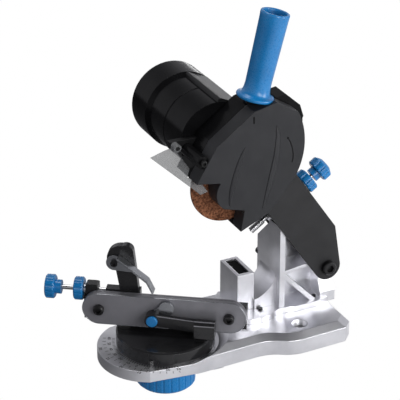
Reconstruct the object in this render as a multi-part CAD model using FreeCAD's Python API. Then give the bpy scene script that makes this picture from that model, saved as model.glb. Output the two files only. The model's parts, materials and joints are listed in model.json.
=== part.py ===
# Electric chainsaw sharpener, drawn in the pose of the photograph, in millimetres.
# +X runs from the chain vise to the rear pivot, +Y towards the motor, +Z up.
# Z = 0 is the underside of the base and X = Y = 0 the axis of the turntable while drawing.
# The exported frame starts midway between the two bench holes.
import FreeCAD
import Part
import math
import os

V = FreeCAD.Vector
os.makedirs("parts", exist_ok=True)

# Fits and running clearances
fitGap = 0.05
runGap = 0.35
boltGap = 0.1

# Base casting
scaleRadius = 68.0
scaleCentreX = -21.0
scaleThick = 15.0
deckThick = 28.0
deckChamfer = 8.0
deckStartRadius = 68.0
cornerX = -50.0
waistX = 98.0
waistY = 66.0
sideX = 15.0
sideY = 69.0
bulgeX = 158.0
bulgeY = 82.5
rearX = 230.0
rearY = 80.0
rearCorner = 12.0
benchHoleX = 163.0
benchHoleY = 57.0
benchHoleR = 4.25
benchSinkR = 10.0
benchSinkDepth = 7.0
benchStopX = 38.0
benchStopLength = 14.0
benchStopDrop = 5.0

# Rear bracket and stop block
plinthHeight = 8.0
plinthMinX = 90.0
plinthMaxX = 222.0
bracketMinY = -21.0
bracketMaxY = 41.0
wallX = 152.0
wallThick = 8.0
wallTopZ = 150.0
wallChamfer = 36.0
webThick = 7.0
ribThick = 6.0
blockMinX = 98.0
blockMaxX = 122.0
blockMinY = -8.0
blockTopZ = 88.0
blockWall = 4.5
pillarMinX = 212.0
pillarMaxX = 234.0
pillarTopZ = 62.0
lugRadius = 15.0
springRoom = 15.0
springR = 13.5
bracketBoltR = 3.0
bracketHeadR = 5.5
bracketHeadDepth = 7.0
bracketBoltGrip = 12.0
limitScrewR = 2.5
limitScrewZ = 88.0

# Swing arm and its pivot
pivotX = 219.5
pivotZ = 82.0
armLean = 124.3
armBelow = 18.3
armAbove = 40.0
armWall = 4.0
armMinY = -26.0
armMaxY = 46.0
armUpper = 190.0
pinRadius = 6.0
pinHeadRadius = 9.5
pinHeadHeight = 7.0
bushWall = 2.0
bushLength = 12.0
swingDown = 27.0

# Guard shells round the wheel
guardX = 88.0
guardZ = 270.0
guardRadius = 92.0
coverFrontY = -28.0
partingY = -5.0
shellBackY = 29.0
shellWall = 2.2
coverScrewPlaces = [(66.0, 281.0), (96.0, 306.0), (168.0, 290.0), (160.0, 233.0), (139.0, 201.0)]
coverScrewR = 2.0
coverBossR = 5.2
coverHeadR = 3.6
coverHeadSink = 3.2
coverSkin = 6.0
ridgeX = 41.0
ridgeZ = 267.0
ridgeR = 8.0
ridgeFrontY = -24.0
humpBossX = 177.0
humpBossZ = 291.0
humpBossR = 8.0
humpBossY = -12.0
spindleBossR = 14.0
spindleBossLength = 14.0

# Wheel, spindle and belt drive
wheelX = 86.0
wheelZ = 219.0
wheelRadius = 50.0
wheelThick = 3.2
wheelBore = 5.0
flangeRadius = 16.0
flangeThick = 3.0
nutRadius = 8.0
nutHeight = 6.0
wheelPulleyRadius = 17.0
motorPulleyRadius = 9.0
beltThick = 2.0
beltWidth = 8.0
beltY = 14.0

# Motor
motorX = 84.0
motorZ = 270.0
barrelRadius = 48.0
barrelEndY = 118.0
barrelWall = 2.6
capStep = 4.5
capRadius = barrelRadius + capStep
capEndY = 170.0
capRound = 7.0
statorInner = 27.0
statorStartY = 52.0
statorLength = 52.0
rotorShaftRadius = 4.95
rotorCoreRadius = 26.0
fanRadius = 38.0
bearingOuter = 11.0
bearingWidth = 8.0
rockerSwing = 7.0
glandY = 64.0
glandR = 5.0

# Handle
handleX = 122.5
handleZ = 329.0
handleY = -2.0
handleTilt = 14.0
handleLength = 112.0
handleFlangeR = 24.0
handleFlangeThick = 5.0
handleRootR = 16.0
handleTopR = 18.4
handleBoreR = 14.6
handleBoreDepth = 96.0

# Knobs shared by the depth stop and the chain stop
knobRadius = 15.5
knobThick = 12.0
knobHubR = 9.0
knobHubLength = 8.0
knobFlutes = 12
knobFluteR = 2.2
screwRadius = 3.0

# Depth stop screw through the arm
depthAlong = 100.0
depthY = 10.0
depthTip = -46.0
depthLockAt = 44.5
depthKnobAt = 68.0
depthSleeve = 14.0

# Turntable
discRadius = 63.0
discBottomZ = 15.0
discThick = 18.0
discBevel = 2.0
studRadius = 5.0
knobBelowR = 38.0
knobBelowTopZ = -7.0
knobBelowThick = 36.0
knobFloor = 8.0
turnWasherR = 14.0
pointerAngle = -132.0

# Chain vise, drawn along X and then turned with the table
railAngle = -34.4
jawBoltX = 83.0
jawMidZ = 61.0
jawRadius = 21.5
jawFront = 12.3
jawThick = 6.0
chainSlot = 1.5
rearJawThick = 2.8
viseBodyBack = 12.0
viseBodyLowZ = 41.0
viseBodyTopZ = 72.0
viseBodyHalf = 104.0
jawBoltR = 4.0
jawBoltHeadR = 6.8
jawBoltHeadHeight = 6.5
jawTravel = 1.1
screwXs = (-36.0, 36.0)

# Clamping lever
leverX = -13.0
leverZ = 56.5
leverHubR = 9.5
leverHubLength = 13.0
leverReach = 80.0
leverDroop = 6.0
leverEndLength = 26.0
leverEndHeight = 22.0
leverButtonR = 7.2
leverButtonHeight = 3.0
camOffsetX = 17.0
camOffsetZ = 14.0
camRadius = 9.5
camThick = 4.5

# Chain stop
stopRodY = 6.0
stopRodZ = 79.0
stopBlockMinX = -102.0
stopBlockMaxX = -86.0
sliderMinX = -76.0
sliderMaxX = -32.0
sliderHeight = 12.0
sliderTravel = 4.0
stopLockAt = -117.0
stopKnobAt = -142.0
pawlX = -64.0
pawlZ = 123.0
pawlRound = 10.5
pawlSheet = 2.5
postMinY = 1.0
postMaxY = 11.0
stopWasherR = 6.4
pawlGap = 0.4
pawlReachY = -12.0

# Spark visor
visorThick = 2.0
visorPin = (23.0, 276.0)
visorPinR = 2.5
visorPinY = 8.0
visorEyeR = 5.0
visorEyeLength = 10.0
visorBracketY = 21.0
visorKnobR = 4.4
visorKnobThick = 4.5
visorShankR = 2.0
visorCorners = [V(40.4, -20.0, 222.6), V(-8.8, 20.0, 266.1), V(20.9, 20.0, 274.9),
                V(49.9, -20.0, 224.7)]



def cyl(radius, length, base, axis=V(0, 0, 1)):
    return Part.makeCylinder(radius, length, base, axis)


def cone(r1, r2, length, base, axis=V(0, 0, 1)):
    return Part.makeCone(r1, r2, length, base, axis)


def ring(outer, inner, length, base, axis=V(0, 0, 1)):
    return cyl(outer, length, base, axis).cut(cyl(inner, length, base, axis))


def box(x0, x1, y0, y1, z0, z1):
    return Part.makeBox(x1 - x0, y1 - y0, z1 - z0, V(x0, y0, z0))


def fuse(shapes):
    whole = shapes[0]
    if len(shapes) > 1:
        whole = shapes[0].multiFuse(shapes[1:])
    return whole.removeSplitter()


def cut(shape, tools):
    for tool in tools:
        shape = shape.cut(tool)
    return shape


def outline(steps, place):
    # Steps are points, or (middle, end) pairs for an arc; place turns two numbers into a point.
    edges = []
    here = steps[0]
    for step in steps[1:] + [steps[0]]:
        if isinstance(step[0], tuple):
            edges.append(Part.Arc(place(here), place(step[0]), place(step[1])).toShape())
            here = step[1]
        elif math.dist(here, step) > 1e-6:
            edges.append(Part.LineSegment(place(here), place(step)).toShape())
            here = step
    return Part.Face(Part.Wire(edges))


def prismXZ(steps, y0, y1):
    return outline(steps, lambda p: V(p[0], y0, p[1])).extrude(V(0, y1 - y0, 0))


def prismXY(steps, z0, z1):
    return outline(steps, lambda p: V(p[0], p[1], z0)).extrude(V(0, 0, z1 - z0))


def polar(x, z, radius, degrees):
    a = math.radians(degrees)
    return (x + radius * math.cos(a), z + radius * math.sin(a))


def along(base, axis, distance):
    return base + V(axis) * distance


def hexagon(flatRadius, length, base, axis):
    # A hexagonal prism, used for socket recesses, nuts and bolt heads.
    wire = Part.makePolygon([V(*polar(0, 0, flatRadius / math.cos(math.pi / 6), 60 * i), 0)
                             for i in range(7)])
    solid = Part.Face(wire).extrude(V(0, 0, length))
    solid.Placement = FreeCAD.Placement(base, FreeCAD.Rotation(V(0, 0, 1), V(axis)))
    return solid


def socketBolt(radius, length, headR, headH, under, axis):
    # The head stands from "under" along the axis and the shank runs the other way.
    head = cyl(headR, headH * 0.8, under, axis)
    rim = cone(headR, headR - headH * 0.2, headH * 0.2, along(under, axis, headH * 0.8), axis)
    shank = cyl(radius, length, under, -V(axis))
    socket = hexagon(headR * 0.5, headH * 0.6, along(under, axis, headH * 0.4), axis)
    return fuse([head, rim, shank]).cut(socket)


def flutedKnob(radius, thick, hubR, hubLength, boreR, base, axis, domed=False):
    # Gripping disc from the base along the axis, with the hub behind it.
    edge = 1.6
    grip = fuse([cone(radius - edge, radius, edge, base, axis),
                 cyl(radius, thick - 2 * edge, along(base, axis, edge), axis),
                 cone(radius, radius - edge, edge, along(base, axis, thick - edge), axis)])
    parts = [grip]
    if domed:
        parts.append(cone(radius - edge, radius * 0.55, 3.0, along(base, axis, thick), axis))
    if hubLength > 0:
        parts.append(cyl(hubR, hubLength, along(base, axis, -hubLength), axis))
    knob = fuse(parts)
    turn = FreeCAD.Rotation(V(0, 0, 1), V(axis))
    for i in range(knobFlutes):
        x, y = polar(0, 0, radius + knobFluteR * 0.45, 360.0 * i / knobFlutes)
        start = base + turn.multVec(V(x, y, -0.5))
        knob = knob.cut(cyl(knobFluteR, thick + 1.0, start, axis))
    if boreR > 0:
        bore = cyl(boreR, thick + hubLength + 4, along(base, axis, -hubLength - 1), axis)
        knob = knob.cut(bore)
    return knob


def turned(shape):
    copy = shape.copy()
    copy.rotate(V(0, 0, 0), V(0, 0, 1), railAngle)
    return copy


def save(shape, name):
    if not shape.isValid():
        print("not valid:", name)
    print(name, "solids", len(shape.Solids), "volume", round(shape.Volume))
    # The shared frame starts midway between the bench holes.
    placed = shape.copy()
    placed.translate(V(-benchHoleX, 0, 0))
    placed.exportStep("parts/" + name + ".step")


def group(shapes):
    return Part.makeCompound(shapes)


# Base casting: thin scale nose, thicker deck with a sloped edge, two bench holes
def baseOutline(inset):
    # One side is drawn and the other mirrors it.
    k = inset
    noseR = scaleRadius - k
    cornerY = math.sqrt(noseR ** 2 - (cornerX - scaleCentreX) ** 2)
    low = [(cornerX, -cornerY), (sideX, -sideY + k), (waistX, -waistY + k)]
    middle = ((waistX + bulgeX) / 2, -(waistY + bulgeY) / 2 + k)
    bendIn = (waistX * 0.72 + bulgeX * 0.28, -(waistY * 0.87 + bulgeY * 0.13) + k)
    bendOut = (waistX * 0.28 + bulgeX * 0.72, -(waistY * 0.13 + bulgeY * 0.87) + k)
    rearEnd = rearX - k
    sweep = [(bendIn, middle), (bendOut, (bulgeX, -bulgeY + k)),
             (rearEnd - rearCorner, -rearY + k), (rearEnd, -rearY + k + rearCorner)]
    def flip(p):
        return (p[0], -p[1])
    back = [(rearEnd, rearY - k - rearCorner), (rearEnd - rearCorner, rearY - k),
            (bulgeX, bulgeY - k), (flip(bendOut), flip(middle)), (flip(bendIn), flip(low[2])),
            flip(low[1]), flip(low[0]), ((scaleCentreX - noseR, 0), low[0])]
    return low + sweep + back


def makeBase():
    sideTop = deckThick - deckChamfer
    nose = prismXY(baseOutline(0), 0, scaleThick)
    lower = prismXY(baseOutline(0), 0, sideTop)
    wires = [outline(baseOutline(k), lambda p, z=z: V(p[0], p[1], z)).OuterWire
             for k, z in ((0, sideTop), (deckChamfer, deckThick))]
    slope = Part.makeLoft(wires, True, True)
    deck = fuse([lower, slope])
    clearTable = cone(deckStartRadius, deckStartRadius + deckThick - scaleThick,
                      deckThick - scaleThick, V(0, 0, scaleThick))
    noseCut = box(-200, 0, -200, 200, scaleThick, deckThick + 1)
    deck = deck.cut(fuse([clearTable, noseCut]))
    foot = box(benchStopX, benchStopX + benchStopLength, -waistY + 4, -waistY + 16,
               -benchStopDrop, 1)
    base = fuse([nose, deck, foot])
    stud = cyl(studRadius + boltGap, scaleThick + 2, V(0, 0, -1))
    holes = [stud]
    for side in (-1, 1):
        y = side * benchHoleY
        holes.append(cyl(benchHoleR, deckThick + 2, V(benchHoleX, y, -1)))
        holes.append(cone(benchSinkR * 0.8, benchSinkR + 1, benchSinkDepth + 1,
                          V(benchHoleX, y, deckThick - benchSinkDepth)))
    for x, y in bracketBoltPlaces():
        holes.append(cyl(bracketBoltR + boltGap, deckThick + 2, V(x, y, -1)))
        holes.append(cyl(bracketHeadR + boltGap, bracketHeadDepth, V(x, y, 0)))
    return cut(base, holes)




def bracketBoltPlaces():
    y0 = bracketMinY + ribThick
    y1 = bracketMaxY - ribThick
    return [(blockMaxX + ribThick, y0), (blockMaxX + ribThick, y1),
            (pillarMinX - ribThick, y0), (pillarMinX - ribThick, y1)]


def makeBracket():
    z0 = deckThick
    zp = deckThick + plinthHeight
    midY = (bracketMinY + bracketMaxY) / 2
    grow = 14.0
    y0 = bracketMinY - grow
    y1 = bracketMaxY + grow
    swell = 7.0
    plinth = prismXY([(plinthMinX, y0 + 14), (plinthMinX + 10, y0 + 4),
                      ((plinthMinX + 28, y0), (wallX - 10, y0 + swell)),
                      ((wallX + 4, y0 + swell + 3), (wallX + 22, y0 + swell)),
                      (pillarMinX - 8, y0 + swell), (plinthMaxX, y0 + grow - 2),
                      (plinthMaxX, y1 - grow), (pillarMinX - 8, y1 - 4),
                      (plinthMinX + 10, y1 - 4), (plinthMinX, y1 - 14)], z0, zp)
    block = box(blockMinX, blockMaxX, blockMinY, bracketMaxY, z0, blockTopZ)
    pocket = box(blockMinX + blockWall, blockMaxX - blockWall, blockMinY + blockWall,
                 bracketMaxY - blockWall, blockTopZ - 3.0, blockTopZ + 1)
    wall = outline([(bracketMinY, z0), (bracketMaxY, z0), (bracketMaxY, wallTopZ - wallChamfer),
                    (bracketMaxY - wallChamfer, wallTopZ), (bracketMinY, wallTopZ)],
                   lambda p: V(wallX, p[0], p[1])).extrude(V(wallThick, 0, 0))
    # Saddle that runs down from the wall to the stop block
    saddle = prismXZ([(blockMaxX - 1, z0), (blockMaxX - 1, z0 + 22),
                      ((blockMaxX + 16, z0 + 30), (wallX + 1, z0 + 58)), (wallX + 1, z0)],
                     midY - 22, midY + 22)
    lug = cyl(lugRadius, bracketMaxY - bracketMinY - springRoom, V(pivotX, bracketMinY, pivotZ),
              V(0, 1, 0))
    # Central web from wall to pivot
    web = prismXZ([(wallX + 2, z0), (wallX + 2, wallTopZ - 3), (wallX + wallThick + 3, wallTopZ - 3),
                   (pivotX - 8, pivotZ + lugRadius - 3), (pivotX + lugRadius - 3, pivotZ - 6),
                   (pillarMaxX - 3, z0)], midY - webThick / 2, midY + webThick / 2)
    pillar = prismXZ([(pillarMinX, z0), (pillarMinX, pillarTopZ - 4), (pivotX - 6, pillarTopZ + 6),
                      (pivotX + 8, pillarTopZ + 6), (pillarMaxX, pillarTopZ - 14),
                      (pillarMaxX, z0)], bracketMinY, bracketMaxY)
    notch = outline([(bracketMinY - 1, pillarTopZ - 22), (bracketMinY - 1, pivotZ + 40),
                     (bracketMinY + 11, pivotZ + 40), (bracketMinY + 11, pillarTopZ + 8)],
                    lambda p: V(pillarMinX - 2, p[0], p[1])).extrude(V(40, 0, 0))
    pillar = pillar.cut(notch)
    ribs = []
    def rib(a, b, wide):
        dx = b[0] - a[0]
        dz = b[1] - a[1]
        size = math.hypot(dx, dz)
        ox = -dz / size * wide / 2
        oz = dx / size * wide / 2
        ribs.append(prismXZ([(a[0] + ox, a[1] + oz), (b[0] + ox, b[1] + oz),
                             (b[0] - ox, b[1] - oz), (a[0] - ox, a[1] - oz)],
                            bracketMinY, bracketMaxY))
    rib((wallX + 3, z0 + 56), (pillarMinX - 6, z0 + 3), ribThick)
    rib((wallX + 3, z0 + 56), (pivotX - 16, pivotZ + 8), ribThick * 0.8)
    topRib = ((wallX + 5, wallTopZ - 5), (pivotX - 4, pivotZ + lugRadius - 2))
    rib(topRib[0], topRib[1], ribThick * 0.8)
    bracket = fuse([plinth, block, wall, saddle, web, pillar, lug] + ribs)
    boltHoles = [cyl(bracketBoltR, bracketBoltGrip, V(x, y, z0 - 1))
                 for x, y in bracketBoltPlaces()]
    pinHole = cyl(pinRadius + bushWall, 200, V(pivotX, -100, pivotZ), V(0, 1, 0))
    screwHole = cyl(limitScrewR, 16, V(wallX + wallThick / 2, bracketMaxY - 15, limitScrewZ),
                    V(0, 1, 0))
    spring = cyl(springR + 0.5, springRoom + 1, V(pivotX, bracketMaxY - springRoom, pivotZ),
                 V(0, 1, 0))
    return cut(bracket, [pocket, pinHole, screwHole, spring] + boltHoles)




def makeBracketBolts(sideScrew):
    bolts = [sideScrew]
    for x, y in bracketBoltPlaces():
        under = V(x, y, bracketHeadDepth)
        bolts.append(socketBolt(bracketBoltR, deckThick - bracketHeadDepth + bracketBoltGrip - 2,
                                bracketHeadR, bracketHeadDepth - 1.0, under, V(0, 0, -1)))
    return group(bolts)


save(makeBase(), "base_plate")
save(makeBracket(), "rear_bracket")
limitScrew = socketBolt(limitScrewR, 14, 5.0, 5.0,
                        V(wallX + wallThick / 2, bracketMaxY, limitScrewZ), V(0, 1, 0))
save(makeBracketBolts(limitScrew), "bracket_bolts")

# Arm pivot: pin, nut, bushes and the return spring
Y = V(0, 1, 0)
pinLength = armMaxY - armMinY
pin = socketBolt(pinRadius, pinLength + 9.0, pinHeadRadius, pinHeadHeight,
                 V(pivotX, armMinY - runGap, pivotZ), V(0, -1, 0))
save(pin, "pivot_bolt")
nutY = armMaxY + runGap
pinNut = hexagon(pinHeadRadius, 7.0, V(pivotX, nutY, pivotZ), Y)
save(pinNut.cut(cyl(pinRadius, 9, V(pivotX, nutY - 1, pivotZ), Y)), "pivot_nut")
bushes = [ring(pinRadius + bushWall, pinRadius + fitGap, bushLength, V(pivotX, y, pivotZ), Y)
          for y in (bracketMinY, bracketMaxY - springRoom - bushLength)]
save(group(bushes), "pivot_bushes")

# Arm frame: unit vectors along the arm and square to it
armDir = V(math.cos(math.radians(armLean)), 0, math.sin(math.radians(armLean)))
armUp = V(math.sin(math.radians(armLean)), 0, -math.cos(math.radians(armLean)))
pivot = V(pivotX, 0, pivotZ)


def armPoint(a, b):
    p = pivot + armDir * a + armUp * b
    return (p.x, p.z)


# Guard outline in the XZ plane
def guardSteps():
    top = (109.0, 323.0)
    upperLeft = (58.0, 286.0)
    lowerLeft = (31.0, 241.5)
    notchStart = (64.0, 236.0)
    notchMiddle = polar(wheelX, wheelZ, 28.0, 168.0)
    notchEnd = polar(wheelX, wheelZ, 26.0, 228.0)
    notchRight = (97.0, 191.5)
    tip = (92.0, 163.0)
    lowRight = (131.0, 180.5)
    arcStart = polar(guardX, guardZ, guardRadius, -32.0)
    arcMiddle = polar(guardX, guardZ, guardRadius, 0.0)
    arcEnd = polar(guardX, guardZ, guardRadius, 27.0)
    topRight = (140.0, 330.0)
    return [top, upperLeft, lowerLeft, notchStart, (notchMiddle, notchEnd), notchRight, tip,
            lowRight, arcStart, (arcMiddle, arcEnd), topRight]


def guardPrism(y0, y1, inset):
    face = outline(guardSteps(), lambda p: V(p[0], y0, p[1]))
    if inset:
        face = face.makeOffset2D(-inset)
    return face.extrude(V(0, y1 - y0, 0))


wheelAxis = V(wheelX, 0, wheelZ)
motorAxis = V(motorX, 0, motorZ)
handleAxis = V(math.sin(math.radians(handleTilt)), 0, math.cos(math.radians(handleTilt)))
handleFoot = V(handleX, handleY, handleZ)


def at(axisPoint, y):
    return V(axisPoint.x, y, axisPoint.z)




def makeCover():
    outer = guardPrism(coverFrontY, partingY, 0)
    shell = outer.cut(guardPrism(coverFrontY + shellWall, partingY + 1, shellWall))
    bosses = [cyl(coverBossR, partingY - coverFrontY - 1, V(x, coverFrontY + 1, z), Y)
              for x, z in coverScrewPlaces]
    shell = fuse([shell] + bosses)
    holes = [cyl(coverScrewR, 60, V(x, coverFrontY + coverSkin, z), Y)
             for x, z in coverScrewPlaces]
    seat = cyl(handleFlangeR + 1, 60, handleFoot, handleAxis)
    socketRoom = cyl(9.2, 20.0, along(handleFoot, handleAxis, -20.0), handleAxis)
    return cut(shell, holes + [seat, socketRoom])


def makeBackShell():
    outer = guardPrism(partingY, shellBackY, 0)
    shell = outer.cut(guardPrism(partingY - 1, shellBackY - 3.0, shellWall))
    bosses = [cyl(coverBossR, shellBackY - partingY - 1, V(x, partingY, z), Y)
              for x, z in coverScrewPlaces]
    spindleBoss = cyl(spindleBossR, spindleBossLength, at(wheelAxis, shellBackY - 3), Y)
    socket = cyl(9.0, 18.0, along(handleFoot, handleAxis, -18.0), handleAxis)
    # Ridge along the left wall that carries the visor's screw in its front end
    ridge = cyl(ridgeR, shellBackY - ridgeFrontY, V(ridgeX, ridgeFrontY, ridgeZ), Y)
    ridge = ridge.cut(guardPrism(-60, 60, 0))
    shell = fuse([shell] + bosses + [spindleBoss, socket, ridge])
    holes = [cyl(coverScrewR + boltGap, 60, V(x, partingY - 1, z), Y) for x, z in coverScrewPlaces]
    holes += [cyl(coverHeadR + boltGap, coverHeadSink + 1, V(x, shellBackY - coverHeadSink, z), Y)
              for x, z in coverScrewPlaces]
    holes.append(cyl(visorShankR + fitGap, 12.0, V(ridgeX, ridgeFrontY - 1, ridgeZ), Y))
    holes.append(cyl(wheelRadius + 0.8, 10, at(wheelAxis, partingY - 1), Y))
    holes.append(cyl(bearingOuter, bearingWidth, at(wheelAxis, shellBackY), Y))
    holes.append(cyl(7.0, 8, at(wheelAxis, shellBackY - 4), Y))
    holes.append(cyl(rotorShaftRadius + 3, 8, at(motorAxis, shellBackY - 4), Y))
    holes.append(cyl(4.0, 40, along(handleFoot, handleAxis, -39), handleAxis))
    seat = cyl(handleFlangeR + 1, 60, handleFoot, handleAxis)
    return cut(shell, holes + [seat])


save(makeCover(), "front_cover")
save(makeBackShell(), "back_shell")
coverScrewLength = shellBackY - coverHeadSink - coverFrontY - coverSkin - 1
coverScrews = [socketBolt(coverScrewR, coverScrewLength, coverHeadR, coverHeadSink - 0.2,
                          V(x, shellBackY - coverHeadSink, z), Y)
               for x, z in coverScrewPlaces]
save(group(coverScrews), "cover_screws")

# Hump on the upper right of the back shell
hump = prismXZ([(148, 308), (152, 324), (166, 326), (186, 308), (191, 292), (186, 280),
                (160, 280)], partingY + 2, shellBackY - 4)
humpBoss = cyl(humpBossR, shellBackY - 4 - humpBossY, V(humpBossX, humpBossY, humpBossZ), Y)
humpSocket = hexagon(2.6, 5, V(humpBossX + 4, humpBossY, humpBossZ + 2), Y)
save(fuse([hump, humpBoss]).cut(guardPrism(-60, 60, 0)).cut(humpSocket), "shell_hump")


# Swing arm: a channel open towards the vise, with cheeks at the pivot
def makeArm():
    y0 = armMinY
    y1 = armMaxY
    edge = armPoint(0, -armBelow)
    low = [armPoint(armUpper, -armBelow), edge]
    turnMiddle = polar(pivotX, pivotZ, armBelow, armLean - 180)
    sideEnd = polar(pivotX, pivotZ, armBelow, armLean - 109)
    outer = low + [(turnMiddle, sideEnd), armPoint(42, armAbove), armPoint(armUpper, armAbove)]
    solid = prismXZ(outer, y0, y1)
    inner = prismXZ([armPoint(armUpper + 5, -armBelow - 30), armPoint(-60, -armBelow - 30),
                     armPoint(-60, 10), armPoint(-10, armBelow + 30), armPoint(34, armAbove - armWall),
                     armPoint(armUpper + 5, armAbove - armWall)], y0 + armWall, y1 - armWall)
    arm = solid.cut(inner)
    capPlate = prismXZ([armPoint(128, -armBelow), armPoint(128, armAbove), armPoint(132, armAbove),
                        armPoint(132, -armBelow)], y0 + armWall, y1 - armWall)
    sleeve = cyl(9.0, depthSleeve, depthAt(armAbove - depthSleeve), armUp)
    arm = fuse([arm, capPlate, sleeve])
    holes = [guardPrism(-60, shellBackY, 0),
             cyl(pinRadius + fitGap, 200, V(pivotX, -100, pivotZ), Y),
             cyl(screwRadius + fitGap, 60, depthAt(0), armUp),
             cyl(barrelRadius + 8, 60, at(motorAxis, shellBackY), Y)]
    arm = cut(arm, holes)
    return max(arm.Solids, key=lambda s: s.Volume)


def depthAt(b):
    p = pivot + armDir * depthAlong + armUp * b
    return V(p.x, depthY, p.z)


save(makeArm(), "swing_arm")
springStartY = bracketMaxY - springRoom + 0.3
save(ring(springR, pinRadius + 2.5, springRoom - 0.6, V(pivotX, springStartY, pivotZ), Y),
     "return_spring")

# Motor: barrel, end cap, stator, bearings
barrelStart = shellBackY
barrel = ring(barrelRadius, barrelRadius - barrelWall, barrelEndY - barrelStart,
              at(motorAxis, barrelStart), Y)
frontWall = ring(barrelRadius, bearingOuter, 4, at(motorAxis, barrelStart), Y)
bearingHold = ring(bearingOuter + 3, bearingOuter, bearingWidth + 2, at(motorAxis, barrelStart), Y)
spindleRoom = cyl(spindleBossR + runGap, spindleBossLength, at(wheelAxis, barrelStart - 2), Y)
save(fuse([barrel, frontWall, bearingHold]).cut(spindleRoom), "motor_housing")


def makeEndCap():
    length = capEndY - barrelEndY
    body = fuse([cone(barrelRadius, capRadius, 6, at(motorAxis, barrelEndY), Y),
                 cyl(capRadius, length - 6, at(motorAxis, barrelEndY + 6), Y)])
    rim = [e for e in body.Edges if e.Closed and abs(e.Vertexes[0].Point.y - capEndY) < 1e-6]
    body = body.makeFillet(capRound, rim)
    hollow = cyl(capRadius - 6, length - 10, at(motorAxis, barrelEndY - 1), Y)
    body = body.cut(hollow)
    boss = ring(bearingOuter + 3, bearingOuter, bearingWidth + 2,
                at(motorAxis, capEndY - 11 - bearingWidth - 1), Y)
    body = fuse([body, boss])
    slots = []
    for i in range(8):
        x, z = polar(motorX, motorZ, 30.0, 45.0 * i)
        slots.append(cyl(5.0, 20, V(x, capEndY - 15, z), Y))
    return cut(body, slots)


save(makeEndCap(), "motor_end_cap")
stator = ring(barrelRadius - barrelWall, statorInner, statorLength, at(motorAxis, statorStartY), Y)
save(stator, "motor_stator")
capBearingY = capEndY - 12 - bearingWidth
bearingYs = [(motorAxis, barrelStart + 1), (motorAxis, capBearingY)]
motorBearings = [ring(bearingOuter, rotorShaftRadius + fitGap, bearingWidth, at(a, y), Y)
                 for a, y in bearingYs]
spindleR = wheelBore - fitGap
motorBearings.append(ring(bearingOuter, spindleR + fitGap, bearingWidth,
                          at(wheelAxis, shellBackY), Y))
save(group(motorBearings), "ball_bearings")

# Rotor: shaft, laminated core, commutator and fan
shaftEnd = capBearingY + bearingWidth
shaftStart = beltY - beltWidth / 2 - 1
core = cyl(rotorCoreRadius, statorLength - 4, at(motorAxis, statorStartY + 2), Y)
commutator = cyl(13.0, 16, at(motorAxis, statorStartY + statorLength + 4), Y)
rotorParts = [cyl(rotorShaftRadius, shaftEnd - shaftStart, at(motorAxis, shaftStart), Y),
              core, commutator]
fanY = statorStartY - 10
fan = ring(rotorShaftRadius + 5, rotorShaftRadius, 8, at(motorAxis, fanY), Y)
blades = [fan, ring(fanRadius, rotorShaftRadius, 1.5, at(motorAxis, fanY), Y)]
for i in range(9):
    blade = box(motorX + 10, motorX + fanRadius, fanY, fanY + 8, motorZ - 0.8, motorZ + 0.8)
    blade.rotate(V(motorX, 0, motorZ), Y, 40.0 * i)
    blades.append(blade)
save(fuse(rotorParts + blades), "rotor")
brushY = statorStartY + statorLength + 8
brushes = []
for side in (-1, 1):
    x0 = motorX + side * (13.0 + runGap)
    x1 = motorX + side * (barrelRadius - barrelWall)
    lowX, highX = min(x0, x1), max(x0, x1)
    brushes.append(box(lowX, highX, brushY, brushY + 8, motorZ - 4, motorZ + 4)
                   .common(cyl(barrelRadius - barrelWall, 20, at(motorAxis, brushY - 2), Y)))
save(group(brushes), "carbon_brushes")


# Belt drive from the motor shaft down to the wheel spindle
def pulley(radius, bore, axisPoint):
    y0 = beltY - beltWidth / 2 - 1
    grooveR = radius - beltThick
    return fuse([ring(grooveR, bore, beltWidth + 2, at(axisPoint, y0), Y),
                 ring(radius, bore, 1, at(axisPoint, y0), Y),
                 ring(radius, bore, 1, at(axisPoint, y0 + beltWidth + 1), Y)])


save(pulley(motorPulleyRadius, rotorShaftRadius, motorAxis), "motor_pulley")
save(pulley(wheelPulleyRadius, spindleR, wheelAxis), "spindle_pulley")


def beltLoop(extra, width):
    # Stadium round both pulleys: two discs joined by their tangent trapezium.
    r1 = wheelPulleyRadius - beltThick + extra
    r2 = motorPulleyRadius - beltThick + extra
    y0 = beltY - width / 2
    dx = motorX - wheelX
    dz = motorZ - wheelZ
    span = math.hypot(dx, dz)
    lean = math.degrees(math.atan2(dz, dx))
    off = math.degrees(math.acos((r1 - r2) / span))
    a = polar(wheelX, wheelZ, r1, lean + off)
    b = polar(motorX, motorZ, r2, lean + off)
    c = polar(motorX, motorZ, r2, lean - off)
    d = polar(wheelX, wheelZ, r1, lean - off)
    return fuse([prismXZ([a, b, c, d], y0, y0 + width), cyl(r1, width, at(wheelAxis, y0), Y),
                 cyl(r2, width, at(motorAxis, y0), Y)])


beltRun = beltWidth - 2 * runGap
belt = beltLoop(runGap + beltThick, beltRun).cut(beltLoop(runGap, beltRun))
save(belt, "drive_belt")

# Wheel on its spindle, with two flanges and a nut
half = wheelThick / 2
spindleStart = -half - flangeThick - nutHeight - 2
save(cyl(spindleR, shellBackY + bearingWidth - spindleStart, at(wheelAxis, spindleStart), Y)
     .fuse(cyl(spindleR + 2, 2.0, at(wheelAxis, half + flangeThick), Y)), "wheel_spindle")
wheel = ring(wheelRadius, wheelBore, wheelThick, at(wheelAxis, -half), Y)
save(wheel, "grinding_wheel")
flanges = [ring(flangeRadius, spindleR, flangeThick, at(wheelAxis, y), Y)
           for y in (-half - flangeThick, half)]
save(group(flanges), "wheel_flanges")
nut = hexagon(nutRadius, nutHeight, at(wheelAxis, -half - flangeThick - nutHeight), Y)
save(nut.cut(cyl(spindleR, 20, at(wheelAxis, -20), Y)), "wheel_nut")

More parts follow.
